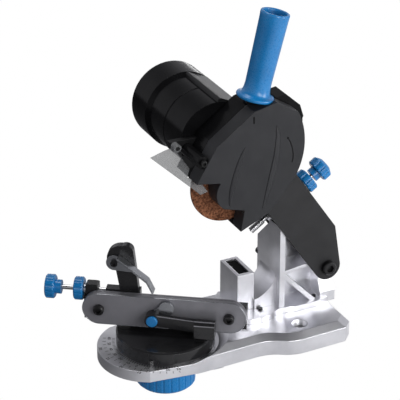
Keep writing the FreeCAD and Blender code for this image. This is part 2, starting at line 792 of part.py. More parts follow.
# Service box along the barrel, switch housing, rocker and cord inlet
serviceTop = motorZ + barrelRadius + 3.0
serviceBox = box(motorX - 17, motorX + 17, barrelStart, barrelEndY + 4, serviceTop - 13, serviceTop)
serviceEdges = [e for e in serviceBox.Edges if all(v.Point.z > serviceTop - 1 for v in e.Vertexes)
                and abs(e.Vertexes[0].Point.x - e.Vertexes[1].Point.x) < 1e-6]
serviceBox = serviceBox.makeFillet(3.0, serviceEdges)
serviceBox.rotate(V(motorX, 0, motorZ), Y, 24.0)
serviceBox = cut(serviceBox, [cyl(barrelRadius + 0.02, barrelEndY, at(motorAxis, 0), Y),
                              cyl(capRadius, 60, at(motorAxis, barrelEndY + 6), Y),
                              cone(barrelRadius, capRadius, 6, at(motorAxis, barrelEndY), Y)])
save(serviceBox, "wiring_duct")
switchX = motorX + barrelRadius + 12.0
switchBox = box(switchX - 20, switchX, 48, 92, motorZ - 17, motorZ + 17)
switchBox = switchBox.cut(cyl(barrelRadius, barrelEndY, at(motorAxis, 0), Y))
rockerHole = box(switchX - 11, switchX + 1, 58, 82, motorZ - 9, motorZ + 9)
save(switchBox.cut(rockerHole), "switch_housing")
rockerPivotX = switchX - 5.0
rockerHalf = 24 / 2 - 1.2
rocker = outline([(rockerPivotX - 3.0, -rockerHalf + 2), (rockerPivotX + 3.5, -rockerHalf + 0.6),
                  ((rockerPivotX + 4.2, 0.0), (rockerPivotX + 3.5, rockerHalf - 0.6)),
                  (rockerPivotX - 3.0, rockerHalf - 2)],
                 lambda p: V(p[0], 70.0 + p[1], motorZ - 8.6)).extrude(V(0, 0, 17.2))
# At rest the rocker is tipped to its off side.
rocker.rotate(V(rockerPivotX, 70.0, motorZ), V(0, 0, 1), -rockerSwing)
save(rocker, "switch_rocker")
glandX = switchX - 6.0
gland = fuse([cyl(glandR, 10, V(glandX, glandY, motorZ - 17 - 10)),
              cyl(glandR + 1.5, 3, V(glandX, glandY, motorZ - 17 - 3))])
save(gland.cut(cyl(3.6, 12, V(glandX, glandY, motorZ - 17 - 11))), "cord_inlet")


# Handle: flared hollow grip with a round flange, held by a bolt
def makeHandle():
    flange = cyl(handleFlangeR, handleFlangeThick, handleFoot, handleAxis)
    rims = [e for e in flange.Edges if e.Closed]
    flange = flange.makeFillet(1.8, rims)
    grip = cone(handleRootR, handleTopR, handleLength - 2, handleFoot, handleAxis)
    lipBase = along(handleFoot, handleAxis, handleLength - 2)
    lip = cone(handleTopR, handleTopR - 1.5, 2, lipBase, handleAxis)
    bore = cyl(handleBoreR, handleBoreDepth + 1,
               along(handleFoot, handleAxis, handleLength - handleBoreDepth), handleAxis)
    boltHole = cyl(4.0, handleLength, along(handleFoot, handleAxis, -1), handleAxis)
    return cut(fuse([flange, grip, lip]), [bore, boltHole])


save(makeHandle(), "handle_grip")
handleBolt = socketBolt(4.0 - fitGap, 34.0, 7.0, 6.0,
                        along(handleFoot, handleAxis, handleLength - handleBoreDepth),
                        handleAxis)
save(handleBolt, "handle_bolt")

# Depth stop screw square to the arm
depthRodLength = depthKnobAt + knobThick - depthTip - 2
tipBall = cone(1.6, screwRadius, 2.0, depthAt(depthTip), armUp)
rod = fuse([tipBall, cyl(screwRadius, depthRodLength - 2, depthAt(depthTip + 2), armUp)])
save(rod, "depth_rod")
depthKnob = flutedKnob(knobRadius, knobThick, knobHubR, knobHubLength, 0, depthAt(depthKnobAt),
                       armUp, True)
save(depthKnob.cut(cyl(screwRadius, depthRodLength, depthAt(depthTip), armUp)), "depth_knob")
lockKnob = flutedKnob(knobRadius, knobThick, knobHubR, 0, screwRadius + fitGap,
                      depthAt(depthLockAt), armUp)
save(lockKnob, "depth_lock_knob")
save(ring(10.0, screwRadius + fitGap, depthLockAt - armAbove - 0.2, depthAt(armAbove + 0.1), armUp),
     "depth_washer")

# Turntable with its stud, clamp knob and washer
discTop = discBottomZ + discThick
disc = fuse([cyl(discRadius, discThick - discBevel, V(0, 0, discBottomZ)),
             cone(discRadius, discRadius - discBevel, discBevel, V(0, 0, discTop - discBevel))])
studBottom = knobBelowTopZ - knobBelowThick + knobFloor + 0.5
save(cyl(studRadius - 0.02, discBottomZ + discThick - 5 - studBottom, V(0, 0, studBottom)), "clamp_stud")
pointer = outline([(discRadius - 0.5, -4), (discRadius + 2.5, 0), (discRadius - 0.5, 4),
                   (discRadius - 3, 3), (discRadius - 3, -3)],
                  lambda p: V(p[0], p[1], discBottomZ)).extrude(V(0, 0, 7))
pointer.rotate(V(0, 0, 0), V(0, 0, 1), pointerAngle)
down = V(0, 0, -1)
knobTop = V(0, 0, knobBelowTopZ)
washerTopZ = -runGap
save(ring(turnWasherR, studRadius + fitGap, washerTopZ - knobBelowTopZ - runGap,
          V(0, 0, knobBelowTopZ + runGap)), "clamp_washer")


def makeClampKnob():
    bevel = 3.0
    lowZ = knobBelowTopZ - knobBelowThick
    body = fuse([cyl(knobBelowR, knobBelowThick - bevel, V(0, 0, lowZ + bevel)),
                 cone(knobBelowR - bevel, knobBelowR, bevel, V(0, 0, lowZ))])
    hollow = cyl(knobBelowR - 4, 14, V(0, 0, knobBelowTopZ - 13.5))
    hub = cyl(16.0, 14, V(0, 0, knobBelowTopZ - 14))
    body = fuse([body.cut(hollow), hub])
    grips = []
    for i in range(24):
        x, y = polar(0, 0, knobBelowR + 1.6, 15.0 * i)
        grips.append(cyl(2.4, knobBelowThick - 12, V(x, y, lowZ - 1)))
    bore = cyl(studRadius + fitGap, knobBelowThick - knobFloor, V(0, 0, lowZ + knobFloor))
    return cut(body, [bore] + grips)


save(makeClampKnob(), "clamp_knob")

# Chain vise: body, rear jaw, front jaw, bolts
jawInner = -jawFront + jawThick
rearJawFront = jawInner + chainSlot
bodyFront = rearJawFront + rearJawThick
viseBody = fuse([box(-viseBodyHalf, viseBodyHalf, bodyFront, viseBodyBack, viseBodyLowZ,
                     viseBodyTopZ),
                 box(-46, 46, bodyFront, viseBodyBack + 16, discTop, viseBodyLowZ + 6)])


def slotPlate(halfLength, radius, y0, y1):
    return prismXZ([(-halfLength, jawMidZ - radius), (halfLength, jawMidZ - radius),
                    ((halfLength + radius, jawMidZ), (halfLength, jawMidZ + radius)),
                    (-halfLength, jawMidZ + radius),
                    ((-halfLength - radius, jawMidZ), (-halfLength, jawMidZ - radius))], y0, y1)


boltCentres = [V(x, 0, jawMidZ) for x in (-jawBoltX, jawBoltX)]
leverCentre = V(leverX, 0, leverZ)
throughHoles = [cyl(jawBoltR, 60, at(c, -40), Y) for c in boltCentres]
looseHoles = [cyl(jawBoltR + fitGap, 60, at(c, -40), Y) for c in boltCentres]
studHole = cyl(jawBoltR + fitGap, 60, at(leverCentre, -40), Y)
discScrewHoles = [cyl(2.5, 30, V(x, viseBodyBack + 9, discTop - 10)) for x in screwXs]
save(turned(cut(viseBody, throughHoles + [studHole] + discScrewHoles)), "vise_body")
rearJaw = slotPlate(jawBoltX, jawRadius, rearJawFront, bodyFront)
save(turned(cut(rearJaw, throughHoles + [studHole])), "rear_jaw")
frontJaw = slotPlate(jawBoltX, jawRadius, -jawFront, jawInner)
frontJaw = frontJaw.makeChamfer(1.0, [e for e in frontJaw.Edges
                                      if all(abs(v.Point.y + jawFront) < 1e-6
                                             for v in e.Vertexes)])
save(turned(cut(frontJaw, looseHoles + [studHole])), "front_jaw")
boltLength = jawFront + viseBodyBack
jawBolts = [socketBolt(jawBoltR, boltLength, jawBoltHeadR, jawBoltHeadHeight,
                       at(c, -jawFront - boltGap), V(0, -1, 0)) for c in boltCentres]
save(turned(group(jawBolts)), "jaw_bolts")
discScrews = [socketBolt(2.5, viseBodyLowZ + 6 - discTop + 8, 4.8, 3.5,
                         V(x, viseBodyBack + 9, viseBodyLowZ + 6), V(0, 0, 1)) for x in screwXs]
save(turned(group(discScrews)), "vise_screws")
discHolesTurned = [turned(h) for h in discScrewHoles]
discWithHoles = cut(disc.cut(cyl(studRadius, discThick - 4, V(0, 0, discBottomZ - 1))),
                    discHolesTurned)
save(discWithHoles.fuse(pointer), "turntable_disc")


# Clamping lever: stud, hub with arm and end grip, cam, push button
def makeLever():
    y0 = -jawFront - 0.3 - leverHubLength
    y1 = -jawFront - 0.3
    hub = cyl(leverHubR, leverHubLength, at(leverCentre, y0), Y)
    endX = leverX + leverReach - leverEndLength / 2
    endZ = leverZ - leverDroop
    arm = prismXZ([(leverX, leverZ - 7), (endX, endZ - 8), (endX, endZ + 8), (leverX, leverZ + 7)],
                  y0 + 1, y0 + 8)
    grip = box(endX - leverEndLength / 2, endX + leverEndLength / 2, y0 - 6, y0 + 9,
               endZ - leverEndHeight / 2, endZ + leverEndHeight / 2)
    grip = grip.makeChamfer(4.0, [e for e in grip.Edges
                                  if abs(e.Vertexes[0].Point.y - e.Vertexes[1].Point.y) < 1e-6
                                  and abs(e.Vertexes[0].Point.z - e.Vertexes[1].Point.z) < 1e-6
                                  and e.Vertexes[0].Point.z > endZ])
    return fuse([hub, arm, grip]).cut(cyl(jawBoltR, 60, at(leverCentre, -50), Y))


save(turned(makeLever()), "clamp_lever")
hubFrontY = -jawFront - 0.3 - leverHubLength
leverStud = cyl(jawBoltR, viseBodyBack - hubFrontY - 1, at(leverCentre, hubFrontY + 1), Y)
save(turned(leverStud), "lever_stud")
button = cyl(leverButtonR, leverButtonHeight, at(leverCentre, hubFrontY - leverButtonHeight), Y)
button = button.makeFillet(1.2, [e for e in button.Edges if e.Closed
                                 and e.Vertexes[0].Point.y < hubFrontY - 1])
save(turned(button), "lever_cap")
camCentre = V(leverX + camOffsetX, 0, leverZ + camOffsetZ)
cam = fuse([cyl(camRadius, camThick, at(camCentre, -jawFront - 0.3 - camThick), Y),
            prismXZ([(leverX - 4, leverZ + 5), (leverX + 6, leverZ - 4),
                     (camCentre.x + 5, camCentre.z - 6), (camCentre.x - 6, camCentre.z + 5)],
                    -jawFront - 0.3 - 3.0, -jawFront - 0.3)])
save(turned(cam.cut(cyl(leverHubR, 60, at(leverCentre, -50), Y))), "lever_cam")

# Chain stop: guide block, slider with post, pawl, adjusting screw and lock knob
X = V(1, 0, 0)


def onRod(x):
    return V(x, stopRodY, stopRodZ)


guide = box(stopBlockMinX, stopBlockMaxX, bodyFront + 0.3, viseBodyBack + 2, viseBodyTopZ,
            stopRodZ + 10)
guide = guide.makeChamfer(2.0, [e for e in guide.Edges if e.Vertexes[0].Point.z > stopRodZ
                                and e.Vertexes[1].Point.z > stopRodZ])
save(turned(guide.cut(cyl(screwRadius + fitGap, 80, onRod(-130), X))), "stop_guide")
slider = box(sliderMinX, sliderMaxX, 0.0, viseBodyBack, viseBodyTopZ + 0.3,
             viseBodyTopZ + 0.3 + sliderHeight)
rodEnd = sliderMinX + 12.0
sliderBore = 13.0 + 2 * sliderTravel
save(turned(slider.cut(cyl(screwRadius + fitGap, sliderBore, onRod(sliderMinX - 1), X))),
     "stop_slider")
sliderTop = viseBodyTopZ + 0.3 + sliderHeight
post = prismXZ([(-58, sliderTop), (-34, sliderTop), (-40, 138),
                ((-45, 146), (-54, 146)), ((pawlX - 8, 136), (pawlX - 7, pawlZ - 5)),
                (pawlX + 1, pawlZ - 9)], postMinY, postMaxY)
pawlCentre = V(pawlX, 0, pawlZ)
save(turned(post.cut(cyl(2.5, 40, at(pawlCentre, -10), Y))), "stop_post")
cheekSteps = [polar(pawlX, pawlZ, pawlRound, 255.0),
              (polar(pawlX, pawlZ, pawlRound, 150.0), polar(pawlX, pawlZ, pawlRound, 65.0)),
              (-33.0, 113.5), (-45.0, 111.5)]


def makePawl():
    y1 = postMinY - pawlGap
    cheek = prismXZ(cheekSteps, y1 - pawlSheet, y1)
    crown = polar(pawlX, pawlZ, pawlRound, 65.0)
    tongue = prismXZ([crown, (-22.0, 102.5), (-15.0, 88.0), (-12.6, 89.0), (-19.9, 104.4),
                      (crown[0] + 1.6, crown[1] + 2.0)], pawlReachY, y1)
    sheet = fuse([cheek, tongue])
    return cut(sheet, [cyl(2.5 + fitGap, 60, at(pawlCentre, -30), Y)])


save(turned(makePawl()), "stop_pawl")
pawlBolt = socketBolt(2.5, postMaxY - postMinY + pawlGap + pawlSheet, 4.6, 3.5,
                      at(pawlCentre, postMinY - pawlGap - pawlSheet - 0.3), V(0, -1, 0))
save(turned(pawlBolt), "pawl_bolt")
adjustRod = cyl(screwRadius, rodEnd - 1 - stopKnobAt, onRod(stopKnobAt), X)
save(turned(adjustRod), "adjust_rod")
adjustKnob = flutedKnob(knobRadius, knobThick, knobHubR, knobHubLength, 0, onRod(stopKnobAt),
                        V(-1, 0, 0))
save(turned(adjustKnob.cut(cyl(screwRadius, 30, onRod(stopKnobAt), X))), "adjust_knob")
adjustLock = flutedKnob(knobRadius - 0.5, knobThick, knobHubR, 0, screwRadius + fitGap,
                        onRod(stopLockAt + knobThick), V(-1, 0, 0))
save(turned(adjustLock), "adjust_lock_knob")
washerStart = stopLockAt + knobThick + 0.1
save(turned(ring(stopWasherR, screwRadius + fitGap, stopBlockMinX - washerStart - 0.1,
                 onRod(washerStart), X)), "adjust_washer")

# Spark visor: clear plate hung on a pin of the black bracket, with its screw in the ridge
visorBracket = prismXZ([(visorPin[0] - 5, visorPin[1] - 5), (visorPin[0] - 5, visorPin[1] + 4),
                        (60.0, visorPin[1] + 4), (60.0, visorPin[1] - 5)],
                       visorBracketY, shellBackY)
ridgeRoom = cyl(ridgeR, 80, V(ridgeX, ridgeFrontY, ridgeZ), Y)
visorBracket = cut(visorBracket, [guardPrism(-60, 60, 0), ridgeRoom])
visorBracket = max(visorBracket.Solids, key=lambda part: part.Volume)
visorPinBody = cyl(visorPinR, visorBracketY + 4 - visorPinY, V(visorPin[0], visorPinY, visorPin[1]), Y)
save(fuse([visorBracket, visorPinBody]), "visor_bracket")


def makeVisor():
    a, b, c, d = visorCorners
    normal = (b - a).cross(d - a)
    normal.normalize()
    c = c - normal * (c - a).dot(normal)
    plate = Part.Face(Part.makePolygon([a, b, c, d, a])).extrude(normal * visorThick)
    eye = cyl(visorEyeR, visorEyeLength, V(visorPin[0], visorPinY + 1, visorPin[1]), Y)
    face = outline(guardSteps(), lambda p: V(p[0], -60, p[1])).makeOffset2D(1.2)
    room = [face.extrude(V(0, 120, 0)),
            cyl(wheelRadius + 2.0, 12, at(wheelAxis, -6), Y),
            cyl(ridgeR + 1.0, 90, V(ridgeX, ridgeFrontY - 20, ridgeZ), Y),
            box(0, 60, visorBracketY - 0.4, shellBackY + 1, visorPin[1] - 20, visorPin[1] + 20),
            cyl(visorPinR + fitGap, 40, V(visorPin[0], visorPinY - 5, visorPin[1]), Y)]
    return max(cut(fuse([plate, eye]), room).Solids, key=lambda part: part.Volume)


save(makeVisor(), "spark_visor")
visorScrewSeat = V(ridgeX, ridgeFrontY - runGap, ridgeZ)
visorScrew = socketBolt(visorShankR, 8.0, visorKnobR, visorKnobThick, visorScrewSeat, V(0, -1, 0))
save(visorScrew, "visor_knob")
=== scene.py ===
import bpy
import bmesh
import json
import math
from mathutils import Matrix, Vector


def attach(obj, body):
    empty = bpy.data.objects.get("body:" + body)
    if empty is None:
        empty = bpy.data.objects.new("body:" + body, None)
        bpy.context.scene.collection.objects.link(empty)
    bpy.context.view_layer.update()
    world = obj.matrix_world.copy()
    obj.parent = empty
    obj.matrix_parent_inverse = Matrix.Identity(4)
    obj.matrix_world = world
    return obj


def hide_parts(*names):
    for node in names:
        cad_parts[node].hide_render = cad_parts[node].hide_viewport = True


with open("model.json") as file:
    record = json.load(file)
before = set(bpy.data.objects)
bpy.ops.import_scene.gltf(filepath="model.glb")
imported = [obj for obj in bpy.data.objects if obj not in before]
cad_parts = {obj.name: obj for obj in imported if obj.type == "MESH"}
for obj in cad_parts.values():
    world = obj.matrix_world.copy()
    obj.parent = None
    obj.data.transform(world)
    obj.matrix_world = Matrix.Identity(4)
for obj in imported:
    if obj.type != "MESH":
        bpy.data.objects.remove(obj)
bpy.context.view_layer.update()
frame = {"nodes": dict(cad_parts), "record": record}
nodes = frame["nodes"]
print("frame loaded", len(nodes), "nodes")

# The turntable's axis and the scale nose's top, in metres, and the turn of the vise on it
turntable = {"x": -0.163, "noseTopZ": 0.015, "viseTurn": math.radians(-34.4)}
onTable = Matrix.Translation((turntable["x"], 0, 0))
onVise = onTable @ Matrix.Rotation(turntable["viseTurn"], 4, "Z")


# Node helpers
def addNode(tree, kind, values=None, **settings):
    node = tree.nodes.new(kind)
    for key, value in settings.items():
        setattr(node, key, value)
    for label, value in (values or {}).items():
        node.inputs[label].default_value = value
    return node


def link(tree, source, target):
    tree.links.new(source, target)


def addSockets(tree, inputs, outputs):
    # Gives a node tree its named sockets and returns its input and output nodes.
    for label, kind, value in inputs:
        socket = tree.interface.new_socket(label, in_out="INPUT", socket_type=kind)
        if value is not None:
            socket.default_value = value
    for label, kind in outputs:
        tree.interface.new_socket(label, in_out="OUTPUT", socket_type=kind)
    return addNode(tree, "NodeGroupInput"), addNode(tree, "NodeGroupOutput")


# Surface grain shared by all finishes: a fine height for bump and a broad mask for tone
grainSizes = {"scale": 900.0, "stretch": (1, 1, 1), "fineDetail": 4.0,
              "broadDetail": 3.0, "broadScale": 34.0}


def makeGrainGroup():
    group = bpy.data.node_groups.new("surfaceGrain", "ShaderNodeTree")
    start, end = addSockets(group,
                            [("Scale", "NodeSocketFloat", grainSizes["scale"]),
                             ("Stretch", "NodeSocketVector", grainSizes["stretch"])],
                            [("Height", "NodeSocketFloat"), ("Mask", "NodeSocketFloat")])
    place = addNode(group, "ShaderNodeTexCoord")
    stretch = addNode(group, "ShaderNodeVectorMath", operation="MULTIPLY")
    link(group, place.outputs["Object"], stretch.inputs[0])
    link(group, start.outputs["Stretch"], stretch.inputs[1])
    fine = addNode(group, "ShaderNodeTexNoise", {"Detail": grainSizes["fineDetail"]})
    link(group, stretch.outputs[0], fine.inputs["Vector"])
    link(group, start.outputs["Scale"], fine.inputs["Scale"])
    broad = addNode(group, "ShaderNodeTexNoise",
                    {"Detail": grainSizes["broadDetail"], "Scale": grainSizes["broadScale"]})
    link(group, place.outputs["Object"], broad.inputs["Vector"])
    link(group, fine.outputs["Fac"], end.inputs["Height"])
    link(group, broad.outputs["Fac"], end.inputs["Mask"])
    return group


grainGroup = makeGrainGroup()

# What a finish has unless it says otherwise; "edge" is the radius of the softened corners
plainFinish = {"grain": 900.0, "stretch": (1, 1, 1), "tone": "Mask", "toneFrom": 0.35, "toneTo": 0.65,
               "bump": 0.1, "bumpDistance": 0.0002, "edge": 0.0006, "edgeSamples": 6,
               "metal": 0.0, "specular": 0.5, "coatRough": 0.06, "clearIor": 1.2}


def makeFinish(name, changes):
    # One Principled finish whose tone, roughness and bump follow the grain group.
    spec = {**plainFinish, **changes}
    material = bpy.data.materials.new(name)
    material.use_nodes = True
    tree = material.node_tree
    tree.nodes.clear()
    out = addNode(tree, "ShaderNodeOutputMaterial")
    shader = addNode(tree, "ShaderNodeBsdfPrincipled",
                     {"Metallic": spec["metal"], "Specular IOR Level": spec["specular"]})
    link(tree, shader.outputs[0], out.inputs["Surface"])
    grain = addNode(tree, "ShaderNodeGroup", node_tree=grainGroup)
    grain.inputs["Scale"].default_value = spec["grain"]
    grain.inputs["Stretch"].default_value = spec["stretch"]
    tone = addNode(tree, "ShaderNodeMix", {"A": (*spec["dark"], 1), "B": (*spec["light"], 1)},
                   data_type="RGBA")
    toneRange = addNode(tree, "ShaderNodeMapRange",
                        {"From Min": spec["toneFrom"], "From Max": spec["toneTo"]})
    link(tree, grain.outputs[spec["tone"]], toneRange.inputs["Value"])
    link(tree, toneRange.outputs["Result"], tone.inputs["Factor"])
    link(tree, tone.outputs["Result"], shader.inputs["Base Color"])
    rough = addNode(tree, "ShaderNodeMapRange",
                    {"To Min": spec["rough"][0], "To Max": spec["rough"][1]})
    link(tree, grain.outputs["Height"], rough.inputs["Value"])
    link(tree, rough.outputs["Result"], shader.inputs["Roughness"])
    soften = addNode(tree, "ShaderNodeBevel", {"Radius": spec["edge"]}, samples=spec["edgeSamples"])
    bump = addNode(tree, "ShaderNodeBump",
                   {"Strength": spec["bump"], "Distance": spec["bumpDistance"]})
    link(tree, soften.outputs["Normal"], bump.inputs["Normal"])
    link(tree, grain.outputs["Height"], bump.inputs["Height"])
    link(tree, bump.outputs["Normal"], shader.inputs["Normal"])
    if "coat" in spec:
        shader.inputs["Coat Weight"].default_value = spec["coat"]
        shader.inputs["Coat Roughness"].default_value = spec["coatRough"]
    if "alpha" in spec:
        shader.inputs["IOR"].default_value = spec["clearIor"]
        shader.inputs["Alpha"].default_value = spec["alpha"]
    return material


finishes = {
    "cast_silver": {"dark": (0.74, 0.74, 0.77), "light": (0.84, 0.84, 0.87), "rough": (0.26, 0.34),
                    "metal": 1.0, "grain": 1500.0, "bump": 0.006, "edge": 0.0012},
    "black_iron": {"dark": (0.010, 0.010, 0.011), "light": (0.016, 0.016, 0.017),
                   "rough": (0.16, 0.26), "grain": 1200.0, "bump": 0.05, "specular": 0.45},
    "arm_black": {"dark": (0.016, 0.016, 0.017), "light": (0.021, 0.021, 0.0225),
                  "rough": (0.42, 0.56), "grain": 1500.0, "bump": 0.10, "specular": 0.25},
    "black_oxide": {"dark": (0.010, 0.010, 0.011), "light": (0.022, 0.022, 0.023),
                    "rough": (0.22, 0.38), "metal": 0.5, "grain": 1800.0},
    "plain_steel": {"dark": (0.50, 0.50, 0.51), "light": (0.64, 0.64, 0.65), "rough": (0.18, 0.32),
                    "metal": 1.0, "grain": 1600.0},
    "bright_steel": {"dark": (0.30, 0.31, 0.33), "light": (0.40, 0.41, 0.43), "rough": (0.22, 0.34),
                     "metal": 1.0, "grain": 1300.0},
    "bronze": {"dark": (0.42, 0.27, 0.12), "light": (0.55, 0.37, 0.17), "rough": (0.3, 0.45),
               "metal": 1.0},
    "laminations": {"dark": (0.20, 0.20, 0.21), "light": (0.34, 0.34, 0.35), "rough": (0.3, 0.5),
                    "metal": 1.0, "grain": 500.0, "stretch": (0.05, 6, 0.05)},
    "cover_grey": {"dark": (0.018, 0.0185, 0.021), "light": (0.023, 0.0235, 0.026),
                   "rough": (0.38, 0.50), "grain": 1500.0, "bump": 0.06, "specular": 0.25,
                   "edge": 0.0014},
    "gloss_black": {"dark": (0.0045, 0.0045, 0.005), "light": (0.007, 0.007, 0.0075),
                    "rough": (0.16, 0.24), "grain": 900.0, "bump": 0.015, "specular": 0.09},
    "matte_black": {"dark": (0.007, 0.007, 0.0075), "light": (0.012, 0.012, 0.0125),
                    "rough": (0.34, 0.46), "grain": 1400.0, "specular": 0.25},
    "blue_grip": {"dark": (0.004, 0.155, 0.41), "light": (0.006, 0.185, 0.47),
                  "rough": (0.24, 0.32), "grain": 800.0, "bump": 0.03, "coat": 0.1},
    "white_washer": {"dark": (0.72, 0.72, 0.72), "light": (0.82, 0.82, 0.82), "rough": (0.3, 0.4)},
    "carbon": {"dark": (0.02, 0.02, 0.02), "light": (0.035, 0.035, 0.035), "rough": (0.5, 0.7)},
    "belt_rubber": {"dark": (0.003, 0.003, 0.003), "light": (0.006, 0.006, 0.006),
                    "rough": (0.6, 0.75), "specular": 0.1},
    "abrasive": {"dark": (0.062, 0.022, 0.010), "light": (0.27, 0.110, 0.056), "tone": "Height",
                 "rough": (0.75, 0.95), "grain": 420.0, "bump": 0.9, "specular": 0.15},
    "jaw_grey": {"dark": (0.200, 0.198, 0.216), "light": (0.240, 0.238, 0.258),
                 "rough": (0.30, 0.42), "metal": 0.4, "grain": 900.0, "stretch": (6, 6, 0.4),
                 "bump": 0.05},
    "clear_visor": {"dark": (0.24, 0.245, 0.25), "light": (0.28, 0.285, 0.29), "rough": (0.06, 0.12),
                    "alpha": 0.55, "bump": 0.005},
}
materials = {name: makeFinish(name, changes) for name, changes in finishes.items()}
slotOf = {part["node"]: part["material_slot"] for part in frame["record"]["subparts"]}
for name, obj in nodes.items():
    obj.data.materials.clear()
    obj.data.materials.append(materials[slotOf[name]])
print("finishes set", len(materials))


# Mesh helpers
def newPiece(name, mesh, body, slotName):
    piece = bpy.data.objects.new(name, mesh)
    bpy.context.scene.collection.objects.link(piece)
    mesh.materials.clear()
    mesh.materials.append(materials[slotName])
    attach(piece, body)
    return piece


def meshOf(name, shape):
    mesh = bpy.data.meshes.new(name)
    shape.to_mesh(mesh)
    shape.free()
    return mesh


def turnedMesh(name, profile, turns):
    # Turns a line of (radius, height) points round the Z axis.
    shape = bmesh.new()
    line = [shape.verts.new((radius, 0, z)) for radius, z in profile]
    edges = [shape.edges.new(pair) for pair in zip(line, line[1:])]
    bmesh.ops.spin(shape, geom=line + edges, cent=(0, 0, 0), axis=(0, 0, 1),
                   angle=math.tau, steps=turns, use_merge=True)
    bmesh.ops.remove_doubles(shape, verts=shape.verts, dist=1e-6)
    bmesh.ops.recalc_face_normals(shape, faces=shape.faces)
    mesh = meshOf(name, shape)
    mesh.shade_smooth()
    return mesh


def boxMesh(name, low, high):
    shape = bmesh.new()
    bmesh.ops.create_cube(shape, size=1.0)
    size = [b - a for a, b in zip(low, high)]
    middle = [(a + b) / 2 for a, b in zip(low, high)]
    for vert in shape.verts:
        vert.co = [m + c * s for m, c, s in zip(middle, vert.co, size)]
    return meshOf(name, shape)


def ribbonMesh(name, rows):
    # Joins rows of closed cross-sections into one solid strip.
    shape = bmesh.new()
    loops = [[shape.verts.new(place) for place in row] for row in rows]
    for first, second in zip(loops, loops[1:]):
        for i in range(len(first)):
            j = (i + 1) % len(first)
            shape.faces.new((first[i], first[j], second[j], second[i]))
    shape.faces.new(loops[0])
    shape.faces.new(loops[-1])
    bmesh.ops.recalc_face_normals(shape, faces=shape.faces)
    return meshOf(name, shape)


def socketFor(tree, label):
    # Looks up the identifier that a geometry modifier uses for a named input.
    for item in tree.interface.items_tree:
        if item.in_out == "INPUT" and item.name == label:
            return item.identifier
    raise KeyError(label)


def plainCopy(holder):
    # The evaluated object as a plain mesh.
    graph = bpy.context.evaluated_depsgraph_get()
    return bpy.data.meshes.new_from_object(holder.evaluated_get(graph), depsgraph=graph)


def grownMesh(name, tree, values):
    # Runs a node tree on an empty mesh and returns what it makes as a plain mesh.
    seed = bpy.data.objects.new(name + "Seed", bpy.data.meshes.new(name + "Seed"))
    bpy.context.scene.collection.objects.link(seed)
    maker = seed.modifiers.new("maker", "NODES")
    maker.node_group = tree
    for label, value in values.items():
        maker[socketFor(tree, label)] = value
    seed.update_tag()
    mesh = plainCopy(seed)
    seed.modifiers.remove(maker)
    bpy.data.objects.remove(seed)
    mesh.name = name
    return mesh


def finishTree(tree, copies, start, end):
    # Ends a geometry tree: real copies in the finish of the named input.
    real = addNode(tree, "GeometryNodeRealizeInstances")
    paint = addNode(tree, "GeometryNodeSetMaterial")
    link(tree, copies.outputs[0], real.inputs[0])
    link(tree, real.outputs[0], paint.inputs["Geometry"])
    link(tree, start.outputs["Finish"], paint.inputs["Material"])
    link(tree, paint.outputs[0], end.inputs[0])


# Grip: turned shape with a rounded flange, a soft root and a hollow top, on the tilted axis
grip = {"foot": (-0.0405, -0.002, 0.329), "tilt": math.radians(14.0), "turns": 96,
        "profile": [(0.0, 0.0), (0.0225, 0.0), (0.0235, 0.0006), (0.0240, 0.0018), (0.0240, 0.0032),
                    (0.0235, 0.0044), (0.0222, 0.0050), (0.0205, 0.0053), (0.0188, 0.0064),
                    (0.0175, 0.0090), (0.0166, 0.0130), (0.0162, 0.0190), (0.0164, 0.0300),
                    (0.0173, 0.0700), (0.0181, 0.1040), (0.0184, 0.1085), (0.01835, 0.1105),
                    (0.0178, 0.1116), (0.0170, 0.11185), (0.0156, 0.1118), (0.0149, 0.1112),
                    (0.0146, 0.1100), (0.0146, 0.0165), (0.0, 0.0160)]}
gripMesh = turnedMesh("gripSkin", grip["profile"], grip["turns"])
gripMesh.transform(Matrix.Translation(grip["foot"]) @ Matrix.Rotation(grip["tilt"], 4, "Y"))
gripSkin = newPiece("gripSkin", gripMesh, "head", "blue_grip")
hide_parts("handle_grip")
print("grip done")

# Painted shade: a thin dark sheet on the floor of the stop block's pocket
pocketShade = {"low": (-0.0602, -0.0032, 0.08502), "high": (-0.0458, 0.0362, 0.0856)}
newPiece("stopPocketShade", boxMesh("stopPocketShade", pocketShade["low"], pocketShade["high"]), "base", "belt_rubber")

# Cover relief: two soft folds; the curved turning mark, the notch and two small dimples are dark strips
# and discs, painted shade standing in for their hollows
cover = {"faceY": -0.028, "sunk": 0.0001, "grooveShadeProud": 0.0002, "grooveShadeTop": 0.6}
foldShape = {"steps": 24, "endSwell": 0.04, "swellPower": 0.6, "heel": 0.0008,
             "shoulderAt": 0.5, "shoulderRise": 0.62}
folds = [
    {"name": "foldRight", "side": 1, "wide": 0.009, "height": 0.0007,
     "line": [(-0.0231, 0.2992), (-0.0231, 0.284), (-0.0256, 0.2603), (-0.0317, 0.2333),
              (-0.0366, 0.211), (-0.0415, 0.1878)]},
    {"name": "foldLeft", "side": -1, "wide": 0.008, "height": 0.0005,
     "line": [(-0.0656, 0.2787), (-0.0706, 0.262), (-0.0774, 0.2379), (-0.0824, 0.2196),
              (-0.0868, 0.2012)]},
]
# Painted shade: dark strips in place of the turning mark's groove and the notch
grooveShades = [
    {"name": "turnMarkShade", "half": 0.0009,
     "line": [(-0.0057, 0.2773), (-0.0029, 0.2716), (-0.0005, 0.2641), (0.0009, 0.2561),
              (0.0008, 0.2497), (-0.0005, 0.2445)]},
    {"name": "coverNotchShade", "half": 0.0013, "line": [(-0.0545, 0.3167), (-0.0544, 0.3077)]},
]
# Painted shade: dark discs in place of the two dimples' hollows
dimpleShades = {"radius": 0.0016, "taper": 0.8, "depth": 0.0005, "sides": 20,
           "places": [(-0.007, 0.2789), (-0.0691, 0.1898)]}


